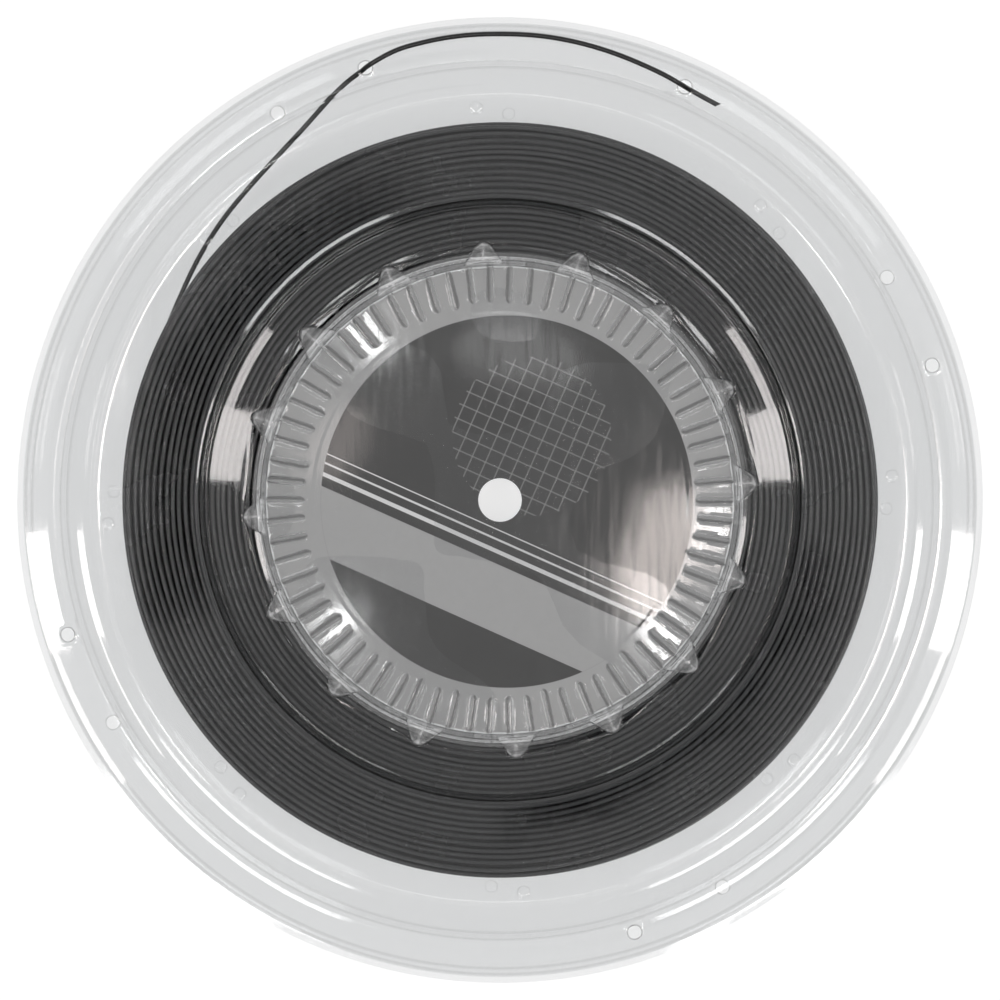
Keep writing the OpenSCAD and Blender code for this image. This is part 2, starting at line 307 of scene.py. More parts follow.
# ======================================== materials
class Nodes:
    """Short calls for building one node tree."""

    def __init__(self, tree):
        self.tree = tree
        tree.nodes.clear()

    def add(self, kind, values=None, **settings):
        """A node with its settings, and with values or links for its inputs."""
        node = self.tree.nodes.new(kind)
        for key, value in settings.items():
            setattr(node, key, value)
        for key, value in (values or {}).items():
            self.set(node.inputs[key], value)
        return node

    def set(self, socket, value):
        """Gives an input a value or, where that is an output, a link."""
        if isinstance(value, bpy.types.NodeSocket):
            self.tree.links.new(value, socket)
        else:
            socket.default_value = value

    def math(self, operation, *values):
        """The result of one calculation."""
        node = self.add("ShaderNodeMath", operation=operation)
        for socket, value in zip(node.inputs, values):
            self.set(socket, value)
        return node.outputs[0]

    def times(self, a, b):
        """The product of two values."""
        return self.math("MULTIPLY", a, b)

    def between(self, value, low, high, out_low=0.0, out_high=1.0, smooth=False):
        """A value moved from one range to another, and held within it."""
        node = self.add("ShaderNodeMapRange", {"Value": value, "From Min": low, "From Max": high,
                                               "To Min": out_low, "To Max": out_high})
        node.interpolation_type = "SMOOTHSTEP" if smooth else "LINEAR"
        return node.outputs["Result"]

    def noise(self, scale, detail, vector=None):
        """Smooth noise over the object, or over another vector."""
        node = self.add("ShaderNodeTexNoise", {"Scale": scale, "Detail": detail})
        self.set(node.inputs["Vector"], vector or self.place())
        return node.outputs["Fac"]

    def place(self):
        """The object's own coordinates, in metres."""
        return self.add("ShaderNodeTexCoord").outputs["Object"]

    def mix(self, factor, a, b):
        """The colour a at factor 0, b at 1, or between."""
        node = self.add("ShaderNodeMix", data_type="RGBA")
        for socket, value in zip([node.inputs[i] for i in (0, 6, 7)], (factor, a, b)):
            self.set(socket, value)
        return node.outputs[2]

    def bump(self, height, strength, distance):
        """A normal that is bent by a height."""
        return self.add("ShaderNodeBump", {"Height": height, "Strength": strength,
                                           "Distance": distance}).outputs["Normal"]


def new_material(name):
    """An empty material, and the short calls that fill its node tree."""
    material = bpy.data.materials.new(name)
    material.use_nodes = True
    return material, Nodes(material.node_tree)


def grey(value, tint=(1, 1, 1)):
    """A grey, or near it where a tint is given, as a colour with alpha."""
    return (*(value * t for t in tint), 1.0)


# The radii between which the crinkle round the ribs comes in, and those between which it goes.
CRINKLE_IN_R = (47.0, 50.0)
CRINKLE_OUT_R = (60.0, 62.0)
# The radii between which the ripple grows from its strength on the flat hub to that on the flange.
RIPPLE_GROWS_R = (45.0, 62.0)
RIPPLE_SHARES = (0.12, 0.5)


def radial(n):
    """The distance from the reel's axis, in metres."""
    flat = n.add("ShaderNodeVectorMath", {0: n.place(), 1: (1, 1, 0)}, operation="MULTIPLY").outputs[0]
    return n.add("ShaderNodeVectorMath", {0: flat}, operation="LENGTH").outputs["Value"]


def sheet_height(n, haze):
    """Height for the bump: a ripple all over, and a crinkle where the ribs' edges are marked."""
    away = radial(n)
    ripple_in, ripple_out = (r * MM for r in RIPPLE_GROWS_R)
    rippled = n.times(n.noise(70, 2), n.between(away, ripple_in, ripple_out, *RIPPLE_SHARES))
    starts = n.between(away, *(r * MM for r in CRINKLE_IN_R), smooth=True)
    ends = n.between(away, *(r * MM for r in CRINKLE_OUT_R), 1.0, 0.0, smooth=True)
    marked = n.times(n.math("ABSOLUTE", haze), 4.0)
    where = n.times(n.times(starts, ends), marked)
    return n.math("ADD", rippled, n.times(n.noise(1300, 3), where))


def clear_material(name, tint, ior):
    """Glossy formed sheet: faintly rippled, with fine rubbed marks, and clear to lamps."""
    material, n = new_material(name)
    stretched = n.add("ShaderNodeMapping", {"Vector": n.place(), "Scale": (1, 0.08, 1)}).outputs[0]
    rub = n.noise(900, 3, stretched)
    haze = n.add("ShaderNodeAttribute", attribute_name=HAZE_AND_PAINTED_LIGHT).outputs["Fac"]
    white = n.math("MAXIMUM", haze, 0.0)
    cloud = n.between(n.noise(1100, 2), 0.35, 0.65, 0.4, 1.0)
    # Below 0 the attribute mixes painted shade into the sheet's colour; above 0 it whitens the sheet, by
    # forming or as a painted highlight.
    shader = n.add("ShaderNodeBsdfPrincipled", {
        "Base Color": n.mix(n.times(haze, -1.0), (*tint, 1), grey(0.2)), "IOR": ior,
        "Transmission Weight": n.math("SUBTRACT", 1.0, n.times(white, cloud)),
        "Roughness": n.between(rub, 0.45, 0.8, 0.03, 0.08),
        "Normal": n.bump(sheet_height(n, haze), 0.25, 0.00012)})
    lamps = n.add("ShaderNodeBsdfTransparent", {"Color": (*(t ** 0.5 * 0.97 for t in tint), 1)})
    path = n.add("ShaderNodeLightPath")
    through = n.math("MAXIMUM", path.outputs["Is Shadow Ray"], path.outputs["Is Diffuse Ray"])
    mixed = n.add("ShaderNodeMixShader", {0: through, 1: shader.outputs[0], 2: lamps.outputs[0]})
    n.add("ShaderNodeOutputMaterial", {"Surface": mixed.outputs[0]})
    return material


def string_material(name, level):
    """Dark polyester monofilament with a soft sheen and a fine grain."""
    material, n = new_material(name)
    cloud = n.noise(60, 3)
    fine = n.noise(2500, 2)
    shader = n.add("ShaderNodeBsdfPrincipled", {
        "Base Color": n.mix(cloud, grey(0.8 * level, (1, 1.02, 1.08)), grey(1.2 * level, (1, 1.02, 1.06))),
        "Roughness": n.between(cloud, 0.3, 0.7, 0.2, 0.3),
        "Specular IOR Level": 0.9,
        "Normal": n.bump(fine, 0.12, 0.00005)})
    n.add("ShaderNodeOutputMaterial", {"Surface": shader.outputs[0]})
    return material


# The card's print, in millimetres: an offset dark disc with a pale sash, thin lines and a faint net.
DISC_X, DISC_Y, DISC_R = 1.75, -0.4, 46.8
SASH_A = math.radians(-24)
SASH = (-31.0, -15.0)
LINES = [(-12.6, -11.6), (-9.6, -9.1), (-7.2, -6.9)]
NET_X, NET_Y, NET_R, NET_STEP, NET_LINE = 8.0, 16.0, 20.0, 3.6, 0.3
EDGE = 0.06


def card_material(name, printed):
    """Printed card: satin, with a paper grain, and the plain pale edge ring round a dark disc."""
    material, n = new_material(name)
    split = n.add("ShaderNodeSeparateXYZ", {0: n.place()})
    x, y = (n.times(split.outputs[i], 1 / MM) for i in (0, 1))

    def disc(cx, cy, radius):
        """1 inside a circle, 0 outside it."""
        away = n.math("SQRT", n.math("ADD", n.math("POWER", n.math("SUBTRACT", x, cx), 2.0),
                                     n.math("POWER", n.math("SUBTRACT", y, cy), 2.0)))
        return n.between(away, radius - EDGE, radius + EDGE, 1.0, 0.0)

    def stripe(value, low, high):
        """1 where the value is between low and high."""
        return n.times(n.between(value, low - EDGE, low + EDGE),
                       n.between(value, high - EDGE, high + EDGE, 1.0, 0.0))

    mottle = n.noise(500, 4)
    pale = n.mix(mottle, grey(0.37), grey(0.41))
    dark = n.mix(mottle, grey(0.045), grey(0.056))
    inside = disc(DISC_X, DISC_Y, DISC_R)
    colour = n.mix(inside, pale, dark)
    if printed:
        c, s = math.cos(SASH_A), math.sin(SASH_A)
        along = n.math("ADD", n.times(x, c), n.times(y, s))
        across = n.math("SUBTRACT", n.times(y, c), n.times(x, s))
        sash = n.times(inside, stripe(across, *SASH))
        colour = n.mix(sash, colour, pale)
        for low, high in LINES:
            colour = n.mix(n.times(inside, stripe(across, low, high)), colour, grey(0.75))
        within = disc(NET_X, NET_Y, NET_R)
        for value in (along, across):
            cell = n.math("PINGPONG", value, NET_STEP / 2)
            net = n.times(within, n.between(cell, NET_LINE / 2, NET_LINE / 2 + EDGE, 1.0, 0.0))
            colour = n.mix(n.times(net, 0.55), colour, grey(0.3))
    shader = n.add("ShaderNodeBsdfPrincipled", {
        "Base Color": colour, "Roughness": n.between(mottle, 0.3, 0.7, 0.42, 0.55),
        "Normal": n.bump(n.noise(4000, 2), 0.15, 0.00003)})
    n.add("ShaderNodeOutputMaterial", {"Surface": shader.outputs[0]})
    return material


# ======================================== camera, floor and light, in metres
CAMERA_Z = 1.5
VIEW_W = 0.25  # width of the view at the height of the front rim
RIM_Z = 0.0214
SENSOR_W = 36  # in millimetres, as the lens


def add_camera():
    """A camera straight over the reel's axis."""
    data = bpy.data.cameras.new("camera")
    data.sensor_width = SENSOR_W
    data.lens = SENSOR_W * (CAMERA_Z - RIM_Z) / VIEW_W
    data.clip_start, data.clip_end = 0.05, 50
    camera = new_object("camera", data)
    camera.location = (0, 0, CAMERA_Z)
    bpy.context.scene.camera = camera


def add_lamp(name, azimuth, away, z, size, radiance, upright=True, colour=(1, 1, 1)):
    """A lamp beside the reel's axis, upright and facing it, or flat and facing down."""
    data = bpy.data.lights.new(name, "AREA")
    data.shape = "RECTANGLE" if upright else "ELLIPSE"
    data.size, data.size_y = size
    data.energy = radiance * math.pi * size[0] * size[1]
    data.color = colour
    lamp = new_object(name, data)
    lamp.location = (away * math.cos(azimuth), away * math.sin(azimuth), z)
    lamp.rotation_euler = (math.pi / 2, 0, azimuth + math.pi / 2) if upright else (0, 0, azimuth)
    lamp.visible_camera = False


def seen_rays(n):
    """1 for rays that show white surroundings: straight to the camera, or by gloss or glass."""
    path = n.add("ShaderNodeLightPath")
    seen = path.outputs["Is Camera Ray"]
    for name in ("Is Glossy Ray", "Is Transmission Ray"):
        seen = n.math("MAXIMUM", seen, path.outputs[name])
    return seen


FLOOR_HALF = 4000  # half the floor's side, in millimetres as all shapes
PAPER = 0.8
PAPER_SEEN = 0.4  # which the glow brings up to white
PAPER_GLOW = 0.72


def add_floor():
    """Pale paper that shows white, and is clear from below to show the reel's back."""
    material, n = new_material("floor")
    seen = seen_rays(n)
    paper = n.add("ShaderNodeBsdfDiffuse", {"Color": n.mix(seen, grey(PAPER), grey(PAPER_SEEN))})
    glow = n.add("ShaderNodeEmission", {"Strength": n.times(seen, PAPER_GLOW)})
    both = n.add("ShaderNodeAddShader", {0: paper.outputs[0], 1: glow.outputs[0]})
    under = n.add("ShaderNodeNewGeometry").outputs["Backfacing"]
    clear = n.add("ShaderNodeBsdfTransparent", {"Color": grey(1.0)})
    mixed = n.add("ShaderNodeMixShader", {0: under, 1: both.outputs[0], 2: clear.outputs[0]})
    n.add("ShaderNodeOutputMaterial", {"Surface": mixed.outputs[0]})
    shape = Shape()
    shape.add([(x * FLOOR_HALF, y * FLOOR_HALF, 0) for x, y in ((-1, -1), (1, -1), (1, 1), (-1, 1))])
    shape.faces.append((0, 1, 2, 3))
    shape.build("floor", material)


SOFT_PINK = (1.0, 0.955, 0.94)
PINK = (1.0, 0.9, 0.86)
# Lamps on the right, with mirrored ones on the left: azimuth in degrees, distance from the reel's axis,
# height of the middle, size, radiance, and then upright and colour where they aren't as usual.
LAMPS = {
    "tall": (-11.5, 0.8, 2.03, (0.21, 1.94), 6, True, SOFT_PINK),
    "low": (-28, 0.8, 1.2, (0.25, 0.27), 5, True, SOFT_PINK),
    "near": (-52, 0.3, 1.83, (0.183, 1.14), 5),
}
# Single lamps high over the camera, which show in the flat hub and in the ribs, in the same form.
HIGH_Z = 4.5
HIGH_LAMPS = {
    "pink_right": (-17, 0.172, HIGH_Z, (0.08, 0.14), 7, False, PINK),
    "pink_left": (161, 0.17, HIGH_Z, (0.05, 0.07), 2, False, PINK),
    "top": (83, 0.15, HIGH_Z, (0.06, 0.13), 1.5, False),
    "rib_right": (-5, 0.212, HIGH_Z, (0.04, 0.05), 14, False),
    "rib_low_right": (-38, 0.212, HIGH_Z, (0.05, 0.05), 14, False),
    "rib_low_left": (217, 0.212, HIGH_Z, (0.05, 0.05), 14, False),
    "rib_top_left": (128, 0.212, HIGH_Z, (0.045, 0.045), 14, False),
}
WORLD_STRENGTH = 0.68  # of the soft light on what isn't clear
ROOM_STRENGTH = 0.35  # of the room that gloss shows
ROOM_LOW = 0.45  # share of it that is left low down
ROOM_Z = (0.1, 0.95)  # where it has sunk to that and where it is full, as the direction's upward part
# Dark places in the room over the reel: azimuth and half width in degrees, then where they start and
# end from straight up, as tangents.
DARK = [(334, 46, 0.0905, 0.2), (132, 38, 0.096, 0.2)]
DARK_SIDE = 6  # degrees to each side of its edge over which a dark place fades
DARK_START, DARK_END = 0.003, 0.05  # tangents over which it comes in and goes


def room_light(n):
    """The white room by its direction: dimmer low down, and dark beside the camera."""
    split = n.add("ShaderNodeSeparateXYZ", {0: n.add("ShaderNodeTexCoord").outputs["Generated"]})
    x, y, z = split.outputs
    flat = n.math("SQRT", n.math("ADD", n.times(x, x), n.times(y, y)))
    away = n.math("DIVIDE", flat, n.math("MAXIMUM", z, 0.01))
    room = n.between(z, *ROOM_Z, ROOM_LOW * ROOM_STRENGTH, ROOM_STRENGTH, smooth=True)
    for azimuth, half, start, end in DARK:
        a = math.radians(azimuth)
        along = n.math("ADD", n.times(x, math.cos(a)), n.times(y, math.sin(a)))
        turn = n.math("DIVIDE", along, n.math("MAXIMUM", flat, 1e-5))
        outside, inside = (math.cos(math.radians(half + d)) for d in (DARK_SIDE, -DARK_SIDE))
        sector = n.between(turn, outside, inside, smooth=True)
        starts = n.between(away, start, start + DARK_START, smooth=True)
        ends = n.between(away, end, end + DARK_END, 1.0, 0.0, smooth=True)
        dark = n.times(sector, n.times(starts, ends))
        room = n.times(room, n.math("SUBTRACT", 1.0, dark))
    return room


def add_light():
    """A white world that lights softly, a dimmer room for gloss, and the lamps."""
    world = bpy.data.worlds.new("world")
    bpy.context.scene.world = world
    world.use_nodes = True
    n = Nodes(world.node_tree)
    path = n.add("ShaderNodeLightPath")
    mirrored = n.math("MAXIMUM", path.outputs["Is Glossy Ray"], path.outputs["Is Transmission Ray"])
    gloss = n.times(mirrored, room_light(n))
    diffuse = n.times(path.outputs["Is Diffuse Ray"], WORLD_STRENGTH)
    strength = n.math("MAXIMUM", path.outputs["Is Camera Ray"], n.math("MAXIMUM", gloss, diffuse))
    sky = n.add("ShaderNodeBackground", {"Color": (1, 1, 1, 1), "Strength": strength})
    n.add("ShaderNodeOutputWorld", {"Surface": sky.outputs[0]})
    for name, (azimuth, *rest) in LAMPS.items():
        add_lamp(name + "_right", math.radians(azimuth), *rest)
        add_lamp(name + "_left", math.radians(180 - azimuth), *rest)
    for name, (azimuth, *rest) in HIGH_LAMPS.items():
        add_lamp(name, math.radians(azimuth), *rest)


# ======================================== the free end of the string
def headings(points):
    """The route's direction at each point, from its two neighbours."""
    out = []
    for i in range(len(points)):
        if i in (0, len(points) - 1):
            j = max(i, 1)
            out.append(unit(points[j] - points[j - 1]))
            continue
        before, after = points[i] - points[i - 1], points[i + 1] - points[i]
        p, q = np.linalg.norm(before), np.linalg.norm(after)
        out.append((before * q / p + after * p / q) / (p + q))
    return out


def smooth_route(points, step):
    """One smooth curve through the points, with its own points at most a step apart."""
    points = [np.array(p, float) for p in points]
    heading = headings(points)
    path = []
    for i in range(len(points) - 1):
        length = np.linalg.norm(points[i + 1] - points[i])
        u, v = heading[i] * length, heading[i + 1] * length
        n = math.ceil(length / step)
        for t in (k / n for k in range(n)):
            path.append(points[i] * (2 * t ** 3 - 3 * t ** 2 + 1) + u * (t ** 3 - 2 * t ** 2 + t)
                        + points[i + 1] * (3 * t ** 2 - 2 * t ** 3) + v * (t ** 3 - t ** 2))
    return path + [points[-1]]


def tube_rings(path, radius, sides):
    """The rings of a tube along a path, anticlockwise about its direction."""
    rings = []
    for i, p in enumerate(path):
        ahead = unit(path[min(i + 1, len(path) - 1)] - path[max(i - 1, 0)])
        across = unit(np.cross((0, 0, 1), ahead))
        up = np.cross(ahead, across)
        rings.append([p + radius * (math.cos(a) * across + math.sin(a) * up)
                      for a in (TAU * j / sides for j in range(sides))])
    return rings


def add_tube(shape, rings):
    """Joins rings that go anticlockwise about their path to a closed tube."""
    made = [shape.add(r) for r in rings]
    for a, b in zip(made[:-1], made[1:]):
        shape.join(a, b, flip=True)
    shape.faces.append(tuple(made[0][::-1]))
    shape.faces.append(tuple(made[-1]))


CUT_SLANT = 1.6  # length of the slanting cut, in radii of the string
TAIL_STEP = 0.9
TAIL_SIDES = 14


def make_free_end(material):
    """The laced end, which stands for the node string_tail."""
    path = smooth_route(TAIL, TAIL_STEP)
    rings = tube_rings(path, STRING_R, TAIL_SIDES)
    ahead = unit(path[-1] - path[-2])
    across = unit(np.cross(ahead, (0, 0, 1)))
    rings[-1] = [p - ahead * STRING_R * CUT_SLANT * (0.5 + 0.5 * float(unit(p - path[-1]) @ across))
                 for p in rings[-1]]
    shape = Shape()
    add_tube(shape, rings)
    piece = shape.build("free_end", material, sharp=60)
    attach(piece, BODY)
    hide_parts("string_tail")


# ======================================== the wound string
def cone_z(r, depth=0.0):
    """Height over the middle plane of the flange's cone, a depth below its outer face."""
    tan = FLANGE_RISE / (CREST_IN_R - MOUTH_R)
    return MID_Z - FLANGE_RISE + (r - MOUTH_R) * tan - depth * math.sqrt(1 + tan * tan)


LIP_R = FLANGE_R - LIP_W
BAND_R = LIP_R - BAND_W
FALL_OUT_R = BAND_R - BAND_STEP / 2
CREST_OUT_R = FALL_OUT_R - FALL_W
CREST_IN_R = CREST_OUT_R - CREST_W
HUB_Z = CARD_T / 2 + WALL
FLOOR_IN_R = HUB_R + HUB_STEP_RUN
FLOOR_Z = HUB_Z + HUB_STEP
FLOOR_OUT_Z = FLOOR_Z + FLOOR_RISE
MOUTH_Z = MID_Z - FLANGE_RISE
FLOOR_OUT_R = MOUTH_R - (MOUTH_Z - FLOOR_OUT_Z) * math.tan(CUP_DRAFT)
TURN_DEPTH = WALL + SOFT_GAP + STRING_R
TURN_R = COIL_R - STRING_R
END_R = math.hypot(*TAIL[0][:2])
BEND = 1.7  # radius in which the layer of turns goes round a corner
FOOT_PLAY = 0.1  # by how far the turns keep clear of the foot of the cup's wall, and of its mouth
MOUTH_PLAY = 0.5
CONTOUR_STEP = 0.3


def floor_z(r):
    """The cup's floor up to the dish, over the middle plane."""
    return FLOOR_START + (r - FLOOR_IN_R - COLLAR_W) * math.tan(FLOOR_SLOPE)


def dish_z(r):
    """The steeper floor outside DISH_R."""
    return floor_z(DISH_R) + (r - DISH_R) * math.tan(DISH_SLOPE)


def winding_contour():
    """Where the outer layer's turns lie, as radius and height over the middle plane."""
    inner_r = FLOOR_IN_R + WALL + SOFT_GAP + STRING_R
    low = floor_z(inner_r) - TURN_DEPTH
    wall_lean = math.tan(CUP_DRAFT)
    wall_in = TURN_DEPTH / math.cos(CUP_DRAFT)
    corner_r = FLOOR_OUT_R + wall_in + FOOT_PLAY
    dish_depth = TURN_DEPTH / math.cos(DISH_SLOPE)
    corner_z = dish_z(FLOOR_OUT_R) - BEAD_H - dish_depth
    mouth_r = MOUTH_R + wall_in + wall_lean * MOUTH_PLAY
    half = [
        (inner_r, low, min(BEND, low * 0.98)),
        (DISH_R, floor_z(DISH_R) - TURN_DEPTH, DISH_FILLET),
        (corner_r, corner_z, BEND),
        (mouth_r, cone_z(mouth_r, TURN_DEPTH), BEND),
        (TURN_R, cone_z(TURN_R, TURN_DEPTH), BEND),
    ]
    rear = [(r, -z, radius) for r, z, radius in half[::-1]]
    rear[0] = (TURN_R - PITCH, -cone_z(TURN_R - PITCH, TURN_DEPTH), 0)
    return rounded(rear + half + [(TURN_R, TAIL[0][2] - MID_Z, 0)], CONTOUR_STEP)


def lengths_along(contour):
    """The length of a contour up to each of its points."""
    return np.concatenate([[0], np.cumsum(np.linalg.norm(np.diff(contour, axis=0), axis=1))])


TURN_STEPS = 200
TURN_SIDES = 10
DRIFT = 0.34  # how far a turn wanders along the layer over a whole turn, and within a short stretch
JITTER = 0.1
DIP = 0.16  # how far it sinks into the layers below on average
FIRST_DIP = 1.2  # how far its very start does, and in how many steps it comes up
FIRST_STEPS = 30
# How fast each of these varies round the reel and from turn to turn, and where in the noise it lies.
DRIFT_NOISE, JITTER_NOISE, DIP_NOISE = (1.3, 0.45, 0), (4, 1.7, 0), (2, 0.8, 9)


def noise_at(c, s, turn, rates):
    """Smooth noise on a turn, in the direction (c, s) from the axis."""
    around, per_turn, place = rates
    return noise.noise(Vector((c * around + place, s * around, turn * per_turn)))


def wound_path():
    """The string's path from the rear rim inwards, round the cups and out to its free end."""
    contour = winding_contour()
    lengths = lengths_along(contour)
    total = lengths[-1]
    tangent = np.gradient(contour, lengths, axis=0)
    steps = round(total / PITCH * TURN_STEPS)
    end_a = math.atan2(TAIL[0][1], TAIL[0][0])
    path, out = [], []
    for k in range(steps + 1):
        a = end_a + TAU * (steps - k) / TURN_STEPS
        turn = k / TURN_STEPS
        c, s = math.cos(a), math.sin(a)
        held = min(1.0, 2.0 * (steps - k) / TURN_STEPS)
        dip = held * DIP * (1 + noise_at(c, s, turn, DIP_NOISE))
        dip += max(0.0, 1 - k / FIRST_STEPS) ** 2 * FIRST_DIP
        wander = DRIFT * noise_at(c, s, turn, DRIFT_NOISE) + JITTER * noise_at(c, s, turn, JITTER_NOISE)
        at = min(max(total * k / steps + held * wander, 0), total)
        r, z = (np.interp(at, lengths, contour[:, i]) for i in (0, 1))
        tr, tz = (np.interp(at, lengths, tangent[:, i]) for i in (0, 1))
        size = math.hypot(tr, tz)
        r += (1 - held) * (END_R - TURN_R) - dip * tz / size
        z -= dip * tr / size
        path.append((r * c, r * s, MID_Z + z))
        out.append((c, s, 0))
    return np.array(path), np.array(out)


def make_wound_string(material):
    """The outer layer as one string at its real pitch, which stands for the node string_turns."""
    path, out = wound_path()
    up = np.array((0, 0, 1))
    rings = [path + STRING_R * (math.cos(b) * out + math.sin(b) * up)
             for b in (TAU * j / TURN_SIDES for j in range(TURN_SIDES))]
    shape = Shape()
    add_tube(shape, np.stack(rings, 1))
    piece = shape.build("wound_string", material, sharp=60)
    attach(piece, BODY)
    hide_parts("string_turns")


UNDER_DEPTH = 1.15  # from the outer layer's middle to the valleys between the ridges
RIDGE_H = 0.35
RIDGE_POINTS = 5
UNDER_COLUMNS = 240


def make_inner_layers(material):
    """The layers under the outer one: ridges a pitch apart, as the turns below show in the gaps."""
    contour = winding_contour()
    lengths = lengths_along(contour)
    at = np.linspace(0, lengths[-1], round(lengths[-1] / PITCH) * RIDGE_POINTS)
    line = np.stack([np.interp(at, lengths, contour[:, i]) for i in (0, 1)], 1)
    step = np.gradient(line, axis=0)
    side = np.stack([-step[:, 1], step[:, 0]], 1) / np.linalg.norm(step, axis=1)[:, None]
    ridge = np.abs(np.sin(math.pi * (at / PITCH + 0.5)))
    line = line - side * (UNDER_DEPTH - RIDGE_H * ridge)[:, None]
    shape = Shape()
    rings = [add_circle(shape, r, z, UNDER_COLUMNS) for r, z in line]
    for a, b in zip(rings, rings[1:] + rings[:1]):
        shape.join(a, b)
    piece = shape.build("inner_layers", material, sharp=60)
    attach(piece, BODY)
    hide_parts("string_core")


# ======================================== the clear halves
COLUMNS = 560  # points of a ring; the flat hub has half as many and the ribs' zone twice as many
RIB_COLUMNS = 2 * COLUMNS // RIB_N
RIB_OUT_R = HUB_R - RIB_INSET
RIB_IN_R = RIB_OUT_R - RIB_L
FINE_FROM_R = RIB_IN_R - 1.2
FINE_TO_R = CREASE_R + 2.2
HALVED_TO_R = RIB_IN_R - 1.8
HUB_FLAT_TO_R = RIB_IN_R - 2
WIDE_TO_R = RIB_IN_R - 3  # up to which the profile's points are far apart, then close together
CLOSE_FROM_R = RIB_IN_R - 2.5

# The profile's points: how far apart in its arcs, how many on the band, and how far apart elsewhere.
ARC_STEP = 0.45
BAND_POINTS = 16
HUB_SPACING = 6.0
FINE_SPACING = 0.3
FLANGE_SPACING = 1.3
RIM_SPACING = 0.6


def face_corners():
    """Corners of the outer face as radius, height over the middle plane and fillet."""
    fall_tan = math.tan(FALL_SLOPE)
    round_r = CREST_OUT_R + ROUNDED_SHARE * FALL_W / 2
    fall_z = MID_Z - (FALL_OUT_R - round_r) * fall_tan
    step_r = FALL_OUT_R - STEP_RUN
    step_z = MID_Z - (step_r - round_r) * fall_tan
    fall_fillet = ROUNDED_SHARE * FALL_W / math.tan(FALL_SLOPE / 2) / 2
    bead_r = FLOOR_OUT_R - BEAD_W
    return [
        (SPINDLE_R, HUB_Z, 0),
        (HUB_R, HUB_Z, HUB_FILLET),
        (FLOOR_IN_R, FLOOR_START + COLLAR_H, COLLAR_FILLET),
        (FLOOR_IN_R + COLLAR_W, FLOOR_START, FOOT_FILLET),
        (DISH_R, floor_z(DISH_R), DISH_FILLET),
        (bead_r, dish_z(bead_r), BEAD_FILLET),
        (FLOOR_OUT_R, dish_z(bead_r) - BEAD_H, WALL_FILLET),
        (MOUTH_R, MOUTH_Z, MOUTH_FILLET),
        (CREST_IN_R, MID_Z, CREST_FILLET),
        (round_r, MID_Z, fall_fillet),
        (step_r, step_z, STEP_FILLET),
        (BAND_R, fall_z - BAND_STEP, 0),
    ]


def face_path():
    """The outer face's profile from the spindle's hole to the rim."""
    corners = face_corners()
    band_z = corners[-1][1]
    edge_z = band_z - BAND_DROP
    t = np.arange(1, BAND_POINTS + 1) / BAND_POINTS
    crown = 4 * BAND_CROWN_H * t * (1 - t)
    band = np.stack([BAND_R + BAND_W * t, band_z - BAND_DROP * t + crown], 1)
    lip = np.array([[FLANGE_R - LIP_W / 2, edge_z], [FLANGE_R, edge_z]])
    path = np.vstack([rounded(corners, ARC_STEP), band, lip])

    def spacing(r):
        if r < WIDE_TO_R:
            return min(HUB_SPACING, CLOSE_FROM_R - r)
        if r < FINE_TO_R:
            return FINE_SPACING
        return FLANGE_SPACING if r < BAND_R else RIM_SPACING
    return resampled(path, spacing)


# No two ribs or lugs are quite alike: length, height, lean and shift; on which side a rib has its painted
# shade, and how strong the painted highlight on its other edge is.
draws = random.Random(7)
RIBS = [{"l": 1 + draws.uniform(-0.06, 0.04), "h": draws.uniform(0.8, 1.15),
         "lean": draws.uniform(-0.12, 0.12), "shift": draws.uniform(-0.25, 0.2),
         "turned": draws.choice((-1, 1, 1)), "highlight_strength": draws.uniform(0.2, 1.2)} for _ in range(RIB_N)]
LUGS = [{"h": draws.uniform(0.88, 1.08), "lean": draws.uniform(-0.5, 0.5),
         "l": draws.uniform(0.92, 1.06)} for _ in range(LUG_N)]


def rib_half_width(r, start, end):
    """A rib is a finger: round at its inner end, and a little narrower towards the collar."""
    into = np.clip((r - start) / RIB_TIP_L, 0, 1)
    out = np.clip((end - r) / (RIB_TIP_L / 2), 0, 1)
    return RIB_W / 2 * np.sqrt(into * (2 - into)) * np.sqrt(out) * (1 - RIB_TAPER * (r - start) / RIB_L)


GATHERED = 0.7  # share of a rib's columns that lie on it
LEAST_GATHERED = 0.3  # of a rib's width, the least to each side that they lie on
GATHER_RUN = 0.8


def column_angles(r, n):
    """Angles of a ring's points. Where the ribs are, they gather on the ribs."""
    k = np.arange(n)
    if n == COLUMNS or not FINE_FROM_R < r < FINE_TO_R:
        return k * TAU / n
    half_pitch = math.pi / RIB_N
    u = ((k + RIB_COLUMNS / 2) % RIB_COLUMNS) / (RIB_COLUMNS / 2) - 1
    width = max(float(rib_half_width(r, RIB_IN_R, RIB_OUT_R)), LEAST_GATHERED * RIB_W) / (r * half_pitch)
    beside = width + (np.abs(u) - GATHERED) / (1 - GATHERED) * (1 - width)
    gathered = np.where(np.abs(u) <= GATHERED, np.abs(u) / GATHERED * width, beside) * np.sign(u)
    ramp = np.clip(min(r - FINE_FROM_R, HUB_R + GATHER_RUN - r) / GATHER_RUN, 0, 1)
    offset = u + (gathered - u) * ramp
    centre = np.round(k / RIB_COLUMNS) * TAU / RIB_N
    return np.where(u == -1, k * TAU / n, centre + offset * half_pitch)


def stroke(s, at, width):
    """A soft line across s: 1 in its middle."""
    return np.exp(-((s - at) / width) ** 2)


# A rib's painted shade on one side and painted highlight on its other edge, as places and widths over its
# half width.
SHADE_AT, SHADE_W = 0.5, 0.45
HIGHLIGHT_AT, HIGHLIGHT_W = 0.85, 0.22


